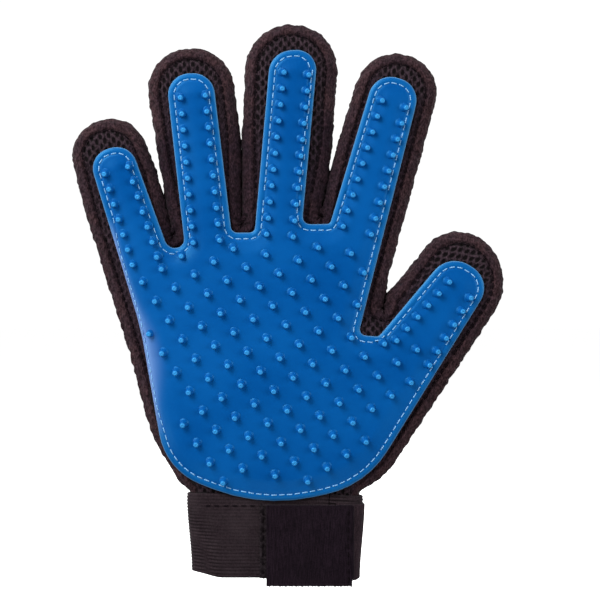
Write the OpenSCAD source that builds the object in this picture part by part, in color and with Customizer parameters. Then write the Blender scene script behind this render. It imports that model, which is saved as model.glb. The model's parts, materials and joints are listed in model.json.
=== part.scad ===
// Pet grooming glove: a spacer-mesh glove with a nubbed silicone pad sewn on its palm side,
// an elastic wrist band and a hook-and-loop closure tab.
//
// Units are millimetres. X runs across the palm, Z up the fingers, and the palm faces -Y.
// The origin is the centre of the cuff's mouth, where the hand goes in.
// The fabric and the pad are each divided at the root of every finger, where they flex.

/* [Fabric shell] */
// Thickness of the spacer mesh
mesh_t = 2.5; // [1.5:0.5:3]
// Depth of the space for the hand, between the two fabric panels
hand_d = 8.5; // [7:0.5:12]
// How far the back fabric rolls over the edge onto the palm side
roll_w = 5; // [4:0.5:6]
// Width of the slit between two fingers that lie side by side
slit_w = 1.4; // [1:0.2:1.8]

/* [Grooming pad] */
// Thickness of the silicone sheet
pad_t = 1.5; // [1:0.25:2.5]
// Height of a nub above the sheet
nub_h = 3; // [2:0.5:4]
// Diameter of a nub where it joins the sheet
nub_d = 2.8; // [2.4:0.1:3]
// Diameter of a nub at its tip
nub_tip_d = 1.9; // [1.2:0.1:2.4]
// Distance between neighbouring nubs on the palm
nub_pitch = 9.7; // [8:0.1:12]
// Turn of the palm's square grid of nubs, in degrees
nub_turn = 34.5; // [0:0.5:45]

/* [Stitching] */
// Length of one stitch
stitch_l = 2.4; // [1.8:0.2:3]
// Distance from one stitch to the next
stitch_pitch = 3.2; // [3:0.1:4]
// Width of the sewing thread
thread_w = 0.5; // [0.3:0.1:0.6]
// Distance of the pad's stitching from the pad's edge
stitch_inset = 2.6; // [2:0.1:3.2]

/* [Wrist band] */
// Width of the wrist band, laid flat
band_w = 72; // [68:1:80]
// Height of the wrist band
band_h = 35; // [30:1:40]
// Thickness of the ribbed elastic
band_t = 1.8; // [1:0.2:2.2]

/* [Closure tab] */
// Length of the tab, from its free end to its hinge
tab_l = 36; // [30:1:38]
// Height of the tab
tab_h = 34; // [28:1:36]
// Thickness of the tab's webbing
tab_t = 1.2; // [0.8:0.2:2]
// Thickness of the loop patch, and of the hook patch with its gap
patch_t = 1; // [0.6:0.2:1.4]

/* [Flex lines] */
// Gap in the parts where a finger flexes
flex_gap = 0.5; // [0.4:0.1:1]

/* [Hidden] */

$fn = 48;
FABRIC = [0.15, 0.11, 0.12];
SILICONE = [0.02, 0.35, 0.72];
THREAD_BLUE = [0.55, 0.78, 0.98];
THREAD_BLACK = [0.08, 0.06, 0.07];
ELASTIC = [0.17, 0.13, 0.14];
HOOK_LOOP = [0.10, 0.07, 0.09];

// Depths count from the flat back of the glove, at 0, towards the palm side.
back_y = mesh_t + hand_d / 2;
panel_t = 2;
panel_d = mesh_t + hand_d;          // inner face of the palm panel
pad_d = panel_d + panel_t;          // back face of the silicone sheet
flex_d = pad_d + pad_t;             // front face of the silicone sheet, where the fingers hinge
stitch_h = 0.35;
arc_step = 8;                       // degrees of arc for each side of a round outline
far = 400;

// The parts of the hand, in the order of the tables below.
HAND = 0;
LITTLE = 1;
THUMB = 5;

// Corners of the fabric's outline, clockwise from the little finger: x, z, corner radius.
// The four slits between the fingers go in after each of the first four fingers.
LITTLE_TIP = [[-88.2, 187.2, 15], [-60, 195.5, 16]];
RING_TIP = [[-56, 219.5, 18.5], [-19.5, 224, 18.5]];
MIDDLE_TIP = [[-11.8, 233, 19.6], [27.5, 231, 19.6]];
INDEX_TIP = [[39, 223.5, 18.4], [71.8, 215, 17.8]];
THUMB_TIP = [[75, 153.5, 18.3], [102.5, 127, 23]];
HEEL = [[49, 46, 12], [37.2, 35, 1], [-37.2, 35, 2], [-52, 59, 60], [-60, 90.5, 60], [-79.8, 153, 90]];

// Each slit runs from the point where two fingers part down to the web between them.
SLITS = [
    [[-49, 171], [-42.6, 143]],
    [[-14.3, 189], [-13.6, 148]],
    [[24.5, 178.5], [19, 151]],
    [[46.2, 118], [45.2, 113]]
];
// A point past the fingertips, in the gap above each slit.
GAPS = [[-66, 231], [-14.5, 260], [35, 240], [90, 200]];

// Corners of the silicone pad's outline, clockwise from the little finger: x, z, corner radius.
PAD_LINE = [
    [-78, 177, 8.5], [-60.5, 181.8, 8.5], [-44.5, 137.5, 5], [-37.5, 138.5, 4],
    [-45.5, 210.5, 9], [-26, 211, 9], [-18, 144.3, 2.7], [-8.4, 144.4, 2.2],
    [-1.8, 219.5, 9.5], [18.2, 221.5, 9.5], [11.4, 147.8, 3], [23, 148, 1.5],
    [42, 211.5, 9.3], [61, 206, 9.3], [34.8, 101.8, 2.5], [43.2, 101, 1.5],
    [72.8, 136, 11], [91, 124.5, 10],
    [38, 39, 40], [-4.8, 29.6, 80], [-45.5, 45, 27], [-56, 104.5, 75]
];

// Two columns of nubs on each finger: centre of the top pair (x, z), centre of the lowest pair,
// number of pairs, width between the columns at the top and at the bottom.
NUB_ROWS = [
    [],
    [[-65.6, 170.4], [-53.8, 132.8], 7, 10.2, 10.6],
    [[-34, 201], [-28.4, 141], 10, 10.3, 11],
    [[8.6, 210.5], [1.8, 143.4], 11, 10.3, 11],
    [[49, 197.8], [33.7, 145.5], 9, 10.4, 12.2],
    [[76.4, 120.6], [57, 94.6], 6, 11.2, 17]
];

// Flex line of each finger: how many pairs of nubs down it crosses, and its slope in degrees.
// The four fingers' lines are nearly parallel, so that they stay side by side as they curl.
FLEX_ROWS = [[], [3.5, 9], [6.5, 3], [7.5, -1], [5.5, -8], [3, -57.6]];

nub_origin = [-19.3, 89.4];         // one nub of the palm's grid
nub_margin = 3.3;                   // from the pad's edge to the nearest nub of the grid
nub_clearance = 0.15;               // between a nub's foot and the stitches beside it
BARE_CELLS = [[4, 6], [-3, 0], [-2, 5], [-4, 2]];   // places on the grid left without a nub

// ---- Plane geometry ----

function unit(v) = v / norm(v);
// The side of a direction that lies inside a clockwise outline.
function inward(v) = [unit(v)[1], -unit(v)[0]];
function xz(p) = [p[0], p[1]];
function turn(angle) = [cos(angle), sin(angle)];
function last(list) = list[len(list) - 1];
function total(list, i = 0) = i == len(list) ? 0 : list[i] + total(list, i + 1);

// A slit's four corners, from the left finger's side to the right finger's.
function slit(s) =
    let (side = inward(s[0] - s[1]) * slit_w / 2)
    [for (p = [s[0] - side, s[1] - side, s[1] + side, s[0] + side]) [p[0], p[1], 0.2]];

SHELL_LINE = concat(
    LITTLE_TIP, slit(SLITS[0]), RING_TIP, slit(SLITS[1]), MIDDLE_TIP, slit(SLITS[2]),
    INDEX_TIP, slit(SLITS[3]), THUMB_TIP, HEEL
);

// Corner i of an outline, moved inwards with its two sides by d.
function inset_corner(line, i, d) =
    let (
        n = len(line),
        p = xz(line[i]),
        before = inward(p - xz(line[(i + n - 1) % n])),
        after = inward(xz(line[(i + 1) % n]) - p),
        q = p + d * (before + after) / (1 + before * after),
        convex = cross(before, after) < 0 ? 1 : -1
    )
    [q[0], q[1], max(0.1, line[i][2] - convex * d)];

// The points of the arc that rounds corner b of a-b-c.
function corner_arc(a, b, c, r) =
    let (
        u = unit(a - b),
        v = unit(c - b),
        half = acos(u * v) / 2,
        reach = min(r / tan(half), 0.499 * norm(a - b), 0.499 * norm(c - b)),
        true_r = reach * tan(half),
        centre = b + unit(u + v) * true_r / sin(half),
        from = b + u * reach - centre,
        to = b + v * reach - centre,
        start = atan2(from[1], from[0]),
        swept = atan2(cross(from, to), from * to),
        n = max(1, ceil(abs(swept) / arc_step))
    )
    [for (k = [0 : n]) centre + true_r * turn(start + swept * k / n)];

// The points of an outline with its corners rounded, d inside the one given.
function round_line(line, d = 0) =
    let (n = len(line), corners = [for (i = [0 : n - 1]) inset_corner(line, i, d)])
    [for (i = [0 : n - 1]) each corner_arc(
        xz(corners[(i + n - 1) % n]), xz(corners[i]), xz(corners[(i + 1) % n]), corners[i][2]
    )];

// How many sides of a closed line a ray from p along +X crosses.
function crossings(p, line) = total([for (i = [0 : len(line) - 1])
    let (a = line[i], b = line[(i + 1) % len(line)])
    (a[1] > p[1]) != (b[1] > p[1])
        && p[0] < a[0] + (b[0] - a[0]) * (p[1] - a[1]) / (b[1] - a[1]) ? 1 : 0]);
function is_inside(p, line) = crossings(p, line) % 2 == 1;

// Distance of p past the flex line of part f, positive on the fingertip's side.
function past_flex(p, f) = (p - FLEX[f][0]) * turn(FLEX[f][1] + 90);

// A point k pairs down a finger's two columns of nubs, midway between the columns.
function row_centre(row, k) = row[0] + (row[1] - row[0]) * k / (row[2] - 1);

FLEX = [for (f = [HAND : THUMB])
    f == HAND ? [] : [row_centre(NUB_ROWS[f], FLEX_ROWS[f][0]), FLEX_ROWS[f][1]]];

// ---- Division into the hand and the fingers ----

// The side of the glove that belongs to finger f, from its two slits outwards.
function wedge(f) = concat(
    f == LITTLE ? [[-far, -far], [-far, far]]
        : [SLITS[f - 2][1], SLITS[f - 2][0], GAPS[f - 2]],
    f == THUMB ? [[far, far], [far, -far]]
        : [GAPS[f - 1], SLITS[f - 1][0], SLITS[f - 1][1]]
);

// Finger f's share of the plane, starting d past its flex line.
module finger_cell(f, d) {
    intersection() {
        polygon(wedge(f));
        translate(FLEX[f][0] + d * turn(FLEX[f][1] + 90))
            rotate(FLEX[f][1])
                translate([-far, 0])
                    square([2 * far, far]);
    }
}

// Cuts a plane shape down to part p, the hand or one finger.
module share(p) {
    if (p == HAND) {
        difference() {
            children();
            for (f = [LITTLE : THUMB]) finger_cell(f, -flex_gap / 2);
        }
    } else {
        intersection() {
            children();
            finger_cell(p, flex_gap / 2);
        }
    }
}

// Stands a plane shape up, filling the depths from d0 to d1.
module layer(d0, d1) {
    translate([0, back_y - d0, 0]) rotate([90, 0, 0]) linear_extrude(d1 - d0) children();
}

// Places solids drawn on the plane, with their own Z towards the palm side, at depth d.
module on_face(d) {
    translate([0, back_y - d, 0]) rotate([90, 0, 0]) children();
}

// ---- Fabric ----

// The cuff's end of an outline that is d inside the fabric's edge, left open for the hand.
module cuff_mouth(d) {
    half = HEEL[1][0] - d;
    translate([-half, HEEL[1][1] - 1]) square([2 * half, 12]);
}

module shell_area(d) {
    polygon(round_line(SHELL_LINE, d));
}

// The area inside the fabric wall, or inside the roll, running out through the cuff.
module open_area(d) {
    shell_area(d);
    intersection() {
        cuff_mouth(d);
        shell_area(0);
    }
}

// The back fabric with its wall and the roll over the palm edge.
module back_shell(p) {
    color(FABRIC) {
        layer(0, mesh_t) share(p) shell_area(0);
        layer(mesh_t, panel_d) share(p) difference() {
            shell_area(0);
            shell_area(mesh_t);
            cuff_mouth(mesh_t);
        }
        layer(panel_d, pad_d) share(p) difference() {
            shell_area(0);
            shell_area(roll_w);
            cuff_mouth(roll_w);
        }
    }
}

module palm_panel(p) {
    color(FABRIC) layer(panel_d, pad_d) share(p) open_area(roll_w);
}

// ---- Silicone pad ----

PAD_EDGE = round_line(PAD_LINE);
GRID_EDGE = round_line(PAD_LINE, nub_margin);

function row_nubs(row) = [for (k = [0 : row[2] - 1], side = [-1, 1])
    let (
        across = inward(row[0] - row[1]),
        width = row[3] + (row[4] - row[3]) * k / (row[2] - 1)
    )
    row_centre(row, k) + across * side * width / 2];

FINGER_NUBS = [for (f = [LITTLE : THUMB]) each row_nubs(NUB_ROWS[f])];

function nearest(p, points) = min([for (q = points) norm(p - q)]);

function part_of(p) =
    let (found = [for (f = [LITTLE : THUMB])
        if (past_flex(p, f) > 0 && is_inside(p, wedge(f))) f])
    len(found) > 0 ? found[0] : HAND;

// True where p lies between the two columns of nubs of some finger.
function between_columns(p) = max([for (f = [LITTLE : THUMB])
    let (row = NUB_ROWS[f], along = row[0] - row[1], offset = p - row[1])
    offset * unit(along) > 0.3 * nub_pitch
        && abs(offset * inward(along)) < row[4] / 2 ? 1 : 0]) == 1;

// The palm's square grid, where it lies on the pad and clear of the fingers' columns.
GRID_NUBS = [for (i = [-9 : 9], j = [-9 : 9])
    let (p = nub_origin + nub_pitch * (i * turn(nub_turn) + j * turn(nub_turn - 90)))
    if (part_of(p) == HAND && is_inside(p, GRID_EDGE) && !between_columns(p)
        && nearest(p, FINGER_NUBS) > nub_pitch / 2
        && min([for (bare = BARE_CELLS) norm(bare - [i, j])]) > 0) p];

NUBS = concat(FINGER_NUBS, GRID_NUBS);

module nub() {
    cylinder(d1 = nub_d, d2 = nub_tip_d, h = nub_h, $fn = 24);
}

module pad(p) {
    color(SILICONE) {
        layer(pad_d, flex_d) share(p) polygon(PAD_EDGE);
        on_face(flex_d) for (q = NUBS) if (part_of(q) == p) translate(q) nub();
    }
}

// ---- Stitching ----

// Distance from the start of a closed line to each of its points, ending with its whole length.
function distances(line) =
    let (n = len(line), sides = [for (i = [0 : n - 1]) norm(line[(i + 1) % n] - line[i])])
    [for (i = 0, at = 0; i <= n; at = at + (i < n ? sides[i] : 0), i = i + 1) at];

// Evenly spaced stitches along a closed line: each a centre and a direction.
function stitches_along(line) =
    let (
        at = distances(line),
        count = floor(last(at) / stitch_pitch),
        n = len(line)
    )
    [for (k = [0 : count - 1])
        let (
            s = (k + 0.5) * last(at) / count,
            i = len([for (a = at) if (a <= s) 1]) - 1,
            a = line[i % n],
            b = line[(i + 1) % n]
        )
        [a + (b - a) * (s - at[i]) / (at[i + 1] - at[i]), b - a]];

// A stitch moved towards the pad's edge, just far enough to pass the nubs beside it.
function beside_nubs(s) =
    let (
        reach = nub_d / 2 + nub_clearance,
        side = inward(s[1]),
        shifts = [for (q = NUBS)
            let (
                over = (q - s[0]) * side,
                beyond = max(0, abs((q - s[0]) * unit(s[1])) - stitch_l / 2)
            )
            if (beyond < reach && abs(over) < reach + thread_w / 2)
                thread_w / 2 + sqrt(reach * reach - beyond * beyond) - over]
    )
    [s[0] - side * max([0, each shifts]), s[1]];

PAD_STITCHES = [for (s = stitches_along(round_line(PAD_LINE, stitch_inset))) beside_nubs(s)];
SEAM_STITCHES = stitches_along(round_line(SHELL_LINE, roll_w));

module stitch(length = stitch_l) {
    translate([-length / 2, -thread_w / 2, 0]) cube([length, thread_w, stitch_h]);
}

// The stitches of part p, left out where they would cross a flex line.
module stitch_line(stitches, p) {
    for (s = stitches)
        if (part_of(s[0]) == p && min([for (f = [LITTLE : THUMB])
                is_inside(s[0], wedge(f)) ? abs(past_flex(s[0], f)) : far]) > stitch_l * 0.7)
            translate(s[0]) rotate(atan2(s[1][1], s[1][0])) stitch();
}

module pad_stitches(p) {
    color(THREAD_BLUE) on_face(flex_d) stitch_line(PAD_STITCHES, p);
}

// The seam that joins the roll to the palm panel; the cuff's end is bound instead.
module edge_seam(p) {
    beside_pad = round_line(PAD_LINE, -1);
    shown = [for (s = SEAM_STITCHES)
        if (s[0][1] > HEEL[1][1] + roll_w + 3 && !is_inside(s[0], beside_pad)) s];
    color(THREAD_BLACK) on_face(pad_d) stitch_line(shown, p);
}

// ---- Cuff and closure ----

band_d0 = mesh_t - band_t;          // depth of the band's back face
band_d1 = panel_d + band_t;         // depth of its palm-side face
cloth_gap = 0.3;                    // between pieces that part when the tab opens
hinge_x = 32.5;                     // the tab's hinge, along the wrist's far edge
hinge_d = band_d1 + 2 * patch_t;
tab_d = hinge_d + cloth_gap;
tab_z = -3;
anchor_x = [26, hinge_x - cloth_gap];
band_gap = [19, anchor_x[0]];       // where the palm side of the band is open, in x
loop_x = [-6.3, band_gap[0]];
patch_z = [0, band_h - 4];          // height range of the loop patch and the anchor

// The flattened tube's cross-section, seen from above.
module tube_section(w, d0, d1) {
    r = (d1 - d0) / 2;
    translate([0, back_y - (d0 + d1) / 2]) {
        square([w - 2 * r, 2 * r], center = true);
        for (side = [-1, 1]) translate([side * (w / 2 - r), 0]) circle(r);
    }
}

module wrist_band() {
    color(ELASTIC) linear_extrude(band_h) difference() {
        tube_section(band_w, band_d0, band_d1);
        tube_section(band_w - 2 * band_t, band_d0 + band_t, band_d1 - band_t);
        translate([band_gap[0], back_y - band_d1 - 1])
            square([band_gap[1] - band_gap[0], band_t + 2]);
    }
}

// A tape inside the cuff that joins the band to the fabric.
module cuff_binding() {
    binding_t = 0.8;
    inner_w = band_w - 2 * band_t;
    color(THREAD_BLACK) translate([0, 0, band_h - 5]) linear_extrude(10) difference() {
        tube_section(inner_w, mesh_t, panel_d);
        tube_section(inner_w - 2 * binding_t, mesh_t + binding_t, panel_d - binding_t);
    }
}

// A box between two x, two depths and two heights.
module slab(x, d, z) {
    translate([x[0], back_y - d[1], z[0]])
        cube([x[1] - x[0], d[1] - d[0], z[1] - z[0]]);
}

module loop_patch() {
    color(HOOK_LOOP) slab(loop_x, [band_d1, band_d1 + patch_t], patch_z);
}

// The end of the elastic, folded double on the band, where the tab is sewn.
module strap_anchor() {
    color(ELASTIC) slab(anchor_x, [band_d1, hinge_d], patch_z);
}

module closure_tab() {
    color(HOOK_LOOP)
        slab([hinge_x - tab_l, hinge_x - cloth_gap], [tab_d, tab_d + tab_t],
            [tab_z, tab_z + tab_h]);
}

module hook_patch() {
    color(HOOK_LOOP)
        slab([hinge_x - tab_l + 1.5, loop_x[1]], [band_d1 + patch_t + cloth_gap, tab_d],
            [tab_z + 1.5, tab_z + tab_h - 1.5]);
}

// A straight row of stitches from a to b, in the plane.
module stitch_row(a, b) {
    count = floor(norm(b - a) / stitch_pitch);
    for (k = [0 : count - 1])
        translate(a + (b - a) * (k + 0.5) / count)
            rotate(atan2(b[1] - a[1], b[0] - a[0]))
                stitch(stitch_l * 0.8);
}

module band_stitches() {
    row_z = band_h - 4.5;
    half = band_w / 2 - 7;
    color(THREAD_BLACK) {
        on_face(band_d1) stitch_row([-half, row_z], [loop_x[0] - 1, row_z]);
        on_face(band_d0 - stitch_h) stitch_row([-half, row_z], [half, row_z]);
    }
}

module loop_patch_stitches() {
    x = loop_x[0] + 1.2;
    color(THREAD_BLACK) on_face(band_d1 + patch_t) stitch_row([x, 1.5], [x, patch_z[1] - 1.5]);
}

module tab_stitches() {
    x = hinge_x - 2;
    color(THREAD_BLACK) on_face(tab_d + tab_t)
        stitch_row([x, tab_z + 1.5], [x, tab_z + tab_h - 1.5]);
}

// ---- The nodes ----

back_shell(HAND);  // hand_back_shell
back_shell(1);  // little_back_shell
back_shell(2);  // ring_back_shell
back_shell(3);  // middle_back_shell
back_shell(4);  // index_back_shell
back_shell(5);  // thumb_back_shell
palm_panel(HAND);  // hand_palm_panel
palm_panel(1);  // little_palm_panel
palm_panel(2);  // ring_palm_panel
palm_panel(3);  // middle_palm_panel
palm_panel(4);  // index_palm_panel
palm_panel(5);  // thumb_palm_panel
pad(HAND);  // hand_pad
pad(1);  // little_pad
pad(2);  // ring_pad
pad(3);  // middle_pad
pad(4);  // index_pad
pad(5);  // thumb_pad
pad_stitches(HAND);  // hand_pad_stitches
pad_stitches(1);  // little_pad_stitches
pad_stitches(2);  // ring_pad_stitches
pad_stitches(3);  // middle_pad_stitches
pad_stitches(4);  // index_pad_stitches
pad_stitches(5);  // thumb_pad_stitches
edge_seam(HAND);  // hand_edge_seam
edge_seam(1);  // little_edge_seam
edge_seam(2);  // ring_edge_seam
edge_seam(3);  // middle_edge_seam
edge_seam(4);  // index_edge_seam
edge_seam(5);  // thumb_edge_seam
wrist_band();
band_stitches();
cuff_binding();
loop_patch();
loop_patch_stitches();
strap_anchor();
closure_tab();
hook_patch();
tab_stitches();
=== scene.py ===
"""Looks of the grooming glove: knitted spacer-mesh shell, nubbed silicone pad, elastic cuff and closing tab.

Lengths inside the script are in millimetres, as x across the palm, y towards the back of the hand and
z up the fingers; they become metres where a mesh is made."""

import json
import math

import bpy
import numpy as np
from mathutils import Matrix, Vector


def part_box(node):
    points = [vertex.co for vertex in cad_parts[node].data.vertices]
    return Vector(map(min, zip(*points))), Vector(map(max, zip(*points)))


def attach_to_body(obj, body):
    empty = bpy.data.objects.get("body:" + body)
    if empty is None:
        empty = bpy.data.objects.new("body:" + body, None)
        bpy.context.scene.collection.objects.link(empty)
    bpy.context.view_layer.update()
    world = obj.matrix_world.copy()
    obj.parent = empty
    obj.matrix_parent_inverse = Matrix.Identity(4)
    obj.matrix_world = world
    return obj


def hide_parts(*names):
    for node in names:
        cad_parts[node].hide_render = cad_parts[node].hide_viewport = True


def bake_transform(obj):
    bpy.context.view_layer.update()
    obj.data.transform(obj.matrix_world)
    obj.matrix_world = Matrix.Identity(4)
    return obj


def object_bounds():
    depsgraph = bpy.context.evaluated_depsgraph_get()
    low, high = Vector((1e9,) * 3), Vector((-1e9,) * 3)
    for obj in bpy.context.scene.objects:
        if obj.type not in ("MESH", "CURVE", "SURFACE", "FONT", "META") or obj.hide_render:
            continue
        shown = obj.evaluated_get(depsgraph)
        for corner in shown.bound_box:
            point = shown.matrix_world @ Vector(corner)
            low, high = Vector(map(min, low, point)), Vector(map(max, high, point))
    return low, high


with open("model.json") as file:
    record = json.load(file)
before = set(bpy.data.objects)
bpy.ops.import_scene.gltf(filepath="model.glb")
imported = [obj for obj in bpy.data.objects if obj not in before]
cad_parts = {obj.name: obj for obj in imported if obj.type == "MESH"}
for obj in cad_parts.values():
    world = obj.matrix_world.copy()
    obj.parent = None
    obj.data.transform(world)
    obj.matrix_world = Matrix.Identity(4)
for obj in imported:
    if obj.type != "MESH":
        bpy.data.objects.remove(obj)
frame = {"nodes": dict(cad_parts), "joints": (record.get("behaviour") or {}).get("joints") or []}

CAD_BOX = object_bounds()
NODES, JOINTS = frame["nodes"], {j["name"]: j for j in frame["joints"]}
FINGERS = ("little", "ring", "middle", "index", "thumb")
PARTS = ("hand",) + FINGERS
MM = 0.001

# How far from its hinge, along the finger, each finger's bend begins (short of its web)
BEND_START = {"little": -7.0, "ring": -9.5, "middle": -8.0, "index": -10.0, "thumb": -11.0}


# ---- Reading shapes from the frame ----

def welded(node):
    """A CAD node's vertices in millimetres, each once, and its triangles."""
    mesh = NODES[node].data
    mesh.calc_loop_triangles()
    points = np.empty(len(mesh.vertices) * 3)
    mesh.vertices.foreach_get("co", points)
    triangles = np.empty(len(mesh.loop_triangles) * 3, np.int64)
    mesh.loop_triangles.foreach_get("vertices", triangles)
    unique, index = np.unique(np.round(points.reshape(-1, 3) / MM, 3), axis=0, return_inverse=True)
    return unique, index.reshape(-1)[triangles].reshape(-1, 3)


def box_mm(node):
    low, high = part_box(node)
    return np.array(low) / MM, np.array(high) / MM


def hinge(name):
    """A flex joint's point, and the directions across and along its finger, in x and z."""
    joint = JOINTS[name + "_flex"]
    across = np.array([joint["axis"][0], joint["axis"][2]])
    return np.array([joint["pos_m"][0], joint["pos_m"][2]]) / MM, across, np.array([-across[1], across[0]])


HINGES = {f: hinge(f) for f in FINGERS}


def past_hinge(finger, points):
    """How far along the finger each (x, z) point lies from the finger's hinge."""
    at, _, along = HINGES[finger]
    return (points - at) @ along


def on_flex_line(a, b):
    """True for an edge made by the cut between the palm and a finger."""
    half_gap, half_width = 0.6, 26
    return any(
        abs(past_hinge(f, a)) < half_gap and abs(past_hinge(f, b)) < half_gap
        and abs((a - HINGES[f][0]) @ HINGES[f][1]) < half_width
        for f in FINGERS
    )


def flat_chains(node, y):
    """Open runs of (x, z) points round the node's flat face at y, without the cuts at the fingers."""
    points, triangles = welded(node)
    flat = triangles[(np.abs(points[triangles][:, :, 1] - y) < 0.01).all(1)]
    edges = {(t[k], t[(k + 1) % 3]) for t in flat for k in range(3)}
    xz = points[:, [0, 2]]
    following = {a: b for a, b in edges if (b, a) not in edges and not on_flex_line(xz[a], xz[b])}
    starts = set(following) - set(following.values())
    chains = []
    for start in sorted(starts):
        chain = [start]
        while chain[-1] in following:
            chain.append(following[chain[-1]])
        chains.append(xz[chain])
    return chains


def outline(kind, y):
    """One closed line of (x, z) points round the whole glove, joined from every part's flat face at y."""
    chains = [c for part in PARTS for c in flat_chains(f"{part}_{kind}", y)]
    line = list(chains.pop(0))
    while chains:
        gaps = [np.linalg.norm(c[0] - line[-1]) for c in chains]
        line.extend(chains.pop(int(np.argmin(gaps))))
    line = np.array(line)
    return line[np.linalg.norm(line - np.roll(line, 1, 0), axis=1) > 0.02]


def evenly(line, step):
    """A closed line's points at even spacing."""
    closed = np.vstack([line, line[:1]])
    at = np.concatenate([[0], np.cumsum(np.linalg.norm(np.diff(closed, axis=0), axis=1))])
    s = np.linspace(0, at[-1], int(at[-1] / step), endpoint=False)
    return np.stack([np.interp(s, at, closed[:, k]) for k in (0, 1)], 1)


def separate_solids(node):
    """The corner points of each separate solid in a CAD node."""
    points, triangles = welded(node)
    group = np.arange(len(points))
    while True:
        least = group[triangles].min(1)
        new = group.copy()
        for k in range(3):
            np.minimum.at(new, triangles[:, k], least)
        new = new[new]
        if (new == group).all():
            break
        group = new
    return [points[group == g] for g in np.unique(group)]


# ---- Fields over the x-z plane ----

class Plane:
    """Values on an even grid over x and z, read anywhere between its points."""

    def __init__(self, low, high, step):
        self.low, self.step = np.array(low, float), step
        count = np.ceil((np.array(high) - self.low) / step).astype(int) + 1
        self.xs, self.zs = (self.low[k] + step * np.arange(count[k]) for k in (0, 1))
        self.points = np.stack(np.meshgrid(self.xs, self.zs, indexing="ij"), -1)

    def read(self, values, points):
        """Bilinear values at (x, z) points."""
        limit = np.array(values.shape[:2]) - 1.001
        at = np.clip((points - self.low) / self.step, 0, limit)
        i, f = at.astype(int), at - at.astype(int)
        fx, fz = (f[..., k] if values.ndim == 2 else f[..., k, None] for k in (0, 1))
        a, b = i[..., 0], i[..., 1]
        return (values[a, b] * (1 - fx) * (1 - fz) + values[a + 1, b] * fx * (1 - fz)
                + values[a, b + 1] * (1 - fx) * fz + values[a + 1, b + 1] * fx * fz)

    def nearest(self, values, points):
        limit = np.array(values.shape[:2]) - 1
        i = np.clip(np.rint((points - self.low) / self.step), 0, limit).astype(int)
        return values[i[..., 0], i[..., 1]]


def distance_inside(plane, line):
    """Distance of each grid point from a closed line, positive inside it."""
    p = plane.points
    best = np.full(p.shape[:2], 1e9)
    odd = np.zeros(p.shape[:2], bool)
    for a, b in zip(line, np.roll(line, -1, 0)):
        side = b - a
        t = np.clip(((p - a) @ side) / (side @ side), 0, 1)
        gap = p - a - t[..., None] * side
        np.minimum(best, (gap ** 2).sum(-1), out=best)
        if a[1] != b[1]:
            crosses = (p[..., 1] > min(a[1], b[1])) & (p[..., 1] <= max(a[1], b[1]))
            odd ^= crosses & (p[..., 0] < a[0] + (p[..., 1] - a[1]) * side[0] / side[1])
    return np.sqrt(best) * np.where(odd, 1, -1)


def slope(plane, values):
    """Unit direction in which the values rise."""
    g = np.stack(np.gradient(values, plane.step), -1)
    return g / np.maximum(np.linalg.norm(g, axis=-1, keepdims=True), 1e-6)


def smooth(t):
    t = np.clip(t, 0, 1)
    return t * t * (3 - 2 * t)


def waves(seed, length, count=9):
    """A smooth random function of position, about -1 to 1, whose humps are about length apart."""
    rng = np.random.default_rng(seed)
    turn = rng.normal(size=(count, 3))
    spread_out = rng.uniform(0.6, 1.3, (count, 1))
    turn *= 2 * math.pi / length / np.linalg.norm(turn, axis=1, keepdims=True) * spread_out
    phase = rng.uniform(0, 2 * math.pi, count)
    return lambda p: np.sin(p @ turn.T + phase).sum(-1) / math.sqrt(count)


PAD_THICK = 1.5
BACK_Y = box_mm("hand_back_shell")[1][1]
PAD_FRONT_Y = box_mm("hand_pad_stitches")[1][1]
PAD_BACK_Y = PAD_FRONT_Y + PAD_THICK
SHELL_LINE = evenly(outline("back_shell", BACK_Y), 1.0)
PAD_LINE = evenly(outline("pad", PAD_BACK_Y), 1.0)
LOW, HIGH = (np.array([v.x, v.z]) / MM for v in CAD_BOX)
PLANE = Plane(LOW - 5, HIGH + 5, 0.5)

# The shell's lower end carries on far down into the cuff, so that the straight edge across it doesn't count
# as an edge of the fabric
FAR_DOWN = 30
CUFF_Z = SHELL_LINE[:, 1].min()
INTO_CUFF = SHELL_LINE.copy()
INTO_CUFF[INTO_CUFF[:, 1] < CUFF_Z + 0.2, 1] -= FAR_DOWN
SHELL_D = distance_inside(PLANE, INTO_CUFF)
PAD_D = distance_inside(PLANE, PAD_LINE)
SHELL_IN, PAD_IN = slope(PLANE, SHELL_D), slope(PLANE, PAD_D)


def label_parts():
    """The part that moves each grid point: 0 for the palm, 1 to 5 for a finger past the start of its bend."""
    label = np.zeros(SHELL_D.shape, int)
    inside = SHELL_D > 0.3
    for number, finger in enumerate(FINGERS, 1):
        t = past_hinge(finger, PLANE.points)
        at, across, _ = HINGES[finger]
        free = inside & (t > BEND_START[finger])
        grown = free & (np.abs(t - 20) < 2) & (np.abs((PLANE.points - at) @ across) < 3)
        while True:
            wider = spread(grown) & free
            if (wider == grown).all():
                break
            grown = wider
        label[grown] = number
    known = inside.copy()
    for _ in range(14):     # out past the edges, so that every surface point has a part
        for shift, axis in ((1, 0), (-1, 0), (1, 1), (-1, 1)):
            near, near_known = np.roll(label, shift, axis), np.roll(known, shift, axis)
            take = near_known & ~known
            label[take] = near[take]
            known |= take
    return label


def spread(mask):
    wider = mask.copy()
    wider[1:] |= mask[:-1]
    wider[:-1] |= mask[1:]
    wider[:, 1:] |= mask[:, :-1]
    wider[:, :-1] |= mask[:, 1:]
    return wider


LABEL = label_parts()


def part_at(points):
    """The part of each (x, z) point: a finger only past the start of its bend."""
    found = PLANE.nearest(LABEL, points)
    for number, finger in enumerate(FINGERS, 1):
        found = np.where((found == number) & (past_hinge(finger, points) < BEND_START[finger]), 0, found)
    return found


# ---- Meshes ----

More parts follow.
